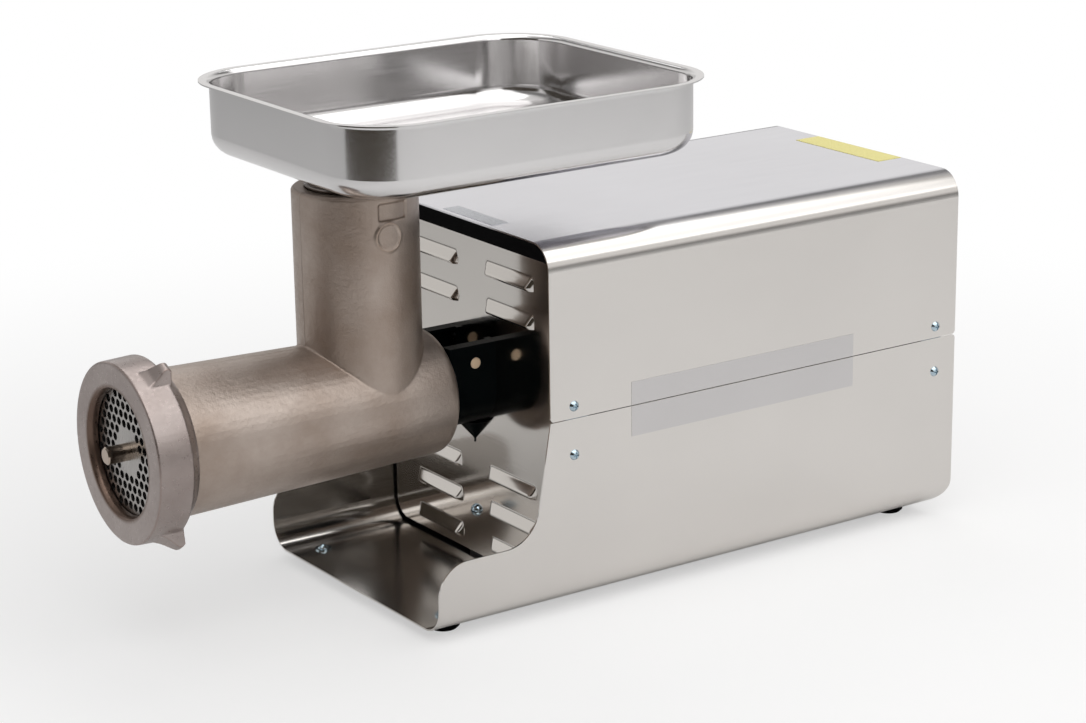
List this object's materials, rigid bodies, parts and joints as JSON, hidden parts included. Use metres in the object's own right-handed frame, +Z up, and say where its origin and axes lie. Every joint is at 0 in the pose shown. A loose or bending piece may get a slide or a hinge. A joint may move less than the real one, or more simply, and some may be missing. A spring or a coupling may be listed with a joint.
{
  "type": "electric meat grinder",
  "caption": "Bench meat grinder with a stainless motor housing, cast barrel and neck, ring nut, hole plate, auger and rectangular feed pan.",
  "frame": {"origin": "on the surface that the feet stand on, under the middle of the whole machine", "axes": "+X from the grinding head towards the back panel, +Y across, +Z up"},
  "size_m": [0.7024, 0.2714, 0.3911],
  "materials": {
    "stainless": "brushed stainless sheet",
    "polished": "polished stainless sheet",
    "tinned_iron": "tinned casting, matt and grainy",
    "tinned_ring": "tinned casting, satin",
    "zinc": "zinc plated",
    "blackened": "blackened steel",
    "bright_steel": "turned steel",
    "gear_steel": "oiled dark steel",
    "plate_steel": "ground steel",
    "bronze": "turned bronze",
    "acetal": "moulded",
    "black_plastic": "moulded, satin",
    "black_rubber": "moulded",
    "foil": "thin clear grey foil, blank",
    "alloy": "die cast",
    "winding": "varnished core and copper",
    "coupling_tan": "machined, oiled",
    "fan_plastic": "moulded",
    "white_plastic": "moulded",
    "green_plastic": "moulded",
    "red_plastic": "moulded"
  },
  "bodies": {
    "root": {"bottom_tray": "stainless", "top_cover": "stainless", "front_panel": "polished", "rear_panel": "stainless", "panel_seals": "black_rubber", "side_brackets": "zinc", "floor_brackets": "blackened", "bracket_nuts": "zinc", "cover_screws": "zinc", "panel_screws": "zinc", "rubber_feet": "black_rubber", "foot_screws": "zinc", "foot_washers": "zinc", "foot_nuts": "zinc", "side_foil": "foil", "top_foils": "foil", "barrel": "tinned_iron", "barrel_bush": "bronze", "thrust_washer": "acetal", "plate_key": "bright_steel", "drip_guard": "black_plastic", "guard_screws": "blackened", "coupling_tube": "coupling_tan", "coupling_bolts": "zinc", "gearbox_housing": "alloy", "gearbox_cover": "alloy", "gearbox_bolts": "zinc", "bearing_bridge": "alloy", "oil_seal": "black_rubber", "output_bearings": "bright_steel", "layshaft_bearings": "bright_steel", "motor_stator": "winding", "motor_housing": "alloy", "motor_shields": "alloy", "shield_screws": "zinc", "motor_bearings": "bright_steel", "fan_cowl": "black_plastic", "motor_saddle": "alloy", "base_bolts": "zinc", "run_capacitor": "white_plastic", "switch_body": "black_plastic", "gland_body": "black_plastic", "gland_locknut": "black_plastic", "gland_nut": "black_plastic", "gland_seal": "black_rubber"},
    "auger_drive": {"auger": "tinned_ring", "knife": "bright_steel", "output_shaft": "gear_steel", "output_gear": "gear_steel"},
    "layshaft_drive": {"layshaft": "gear_steel", "layshaft_gear": "gear_steel"},
    "motor_drive": {"motor_pinion": "gear_steel", "motor_shaft": "bright_steel", "motor_rotor": "gear_steel", "motor_fan": "fan_plastic"},
    "plate": {"hole_plate": "plate_steel"},
    "ring": {"ring_nut": "tinned_ring"},
    "pan": {"feed_pan": "stainless"},
    "start": {"start_button": "green_plastic"},
    "stop": {"stop_button": "red_plastic"}
  },
  "joints": [
    {"name": "auger_spin", "type": "hinge", "parent": "root", "child": "auger_drive", "pos_m": [0, 0, 0.154], "axis": [1, 0, 0], "continuous": true},
    {"name": "layshaft_spin", "type": "hinge", "parent": "root", "child": "layshaft_drive", "pos_m": [0, 0, 0.094], "axis": [1, 0, 0], "continuous": true},
    {"name": "motor_spin", "type": "hinge", "parent": "root", "child": "motor_drive", "pos_m": [0, 0, 0.154], "axis": [1, 0, 0], "continuous": true},
    {"name": "plate_slide", "type": "slide", "parent": "root", "child": "plate", "axis": [-1, 0, 0], "range_m": [0, 0.012]},
    {"name": "ring_turn", "type": "hinge", "parent": "plate", "child": "ring", "pos_m": [-0.34175, 0, 0.154], "axis": [-1, 0, 0], "range_deg": [0, 720]},
    {"name": "pan_lift", "type": "slide", "parent": "root", "child": "pan", "axis": [0, 0, 1], "range_m": [0, 0.05]},
    {"name": "start_press", "type": "slide", "parent": "root", "child": "start", "axis": [-1, 0, 0], "range_m": [0, 0.003], "stiffness_N_per_m": 800, "springref_m": -0.001},
    {"name": "stop_press", "type": "slide", "parent": "root", "child": "stop", "axis": [-1, 0, 0], "range_m": [0, 0.003], "stiffness_N_per_m": 800, "springref_m": -0.001}
  ],
  "couplings": [
    {"joint": "layshaft_spin", "follows": "auger_spin", "ratio": -2.6923},
    {"joint": "motor_spin", "follows": "auger_spin", "ratio": 8.8462},
    {"joint": "plate_slide", "follows": "ring_turn", "m_per_rad": 0.00095493}
  ]
}
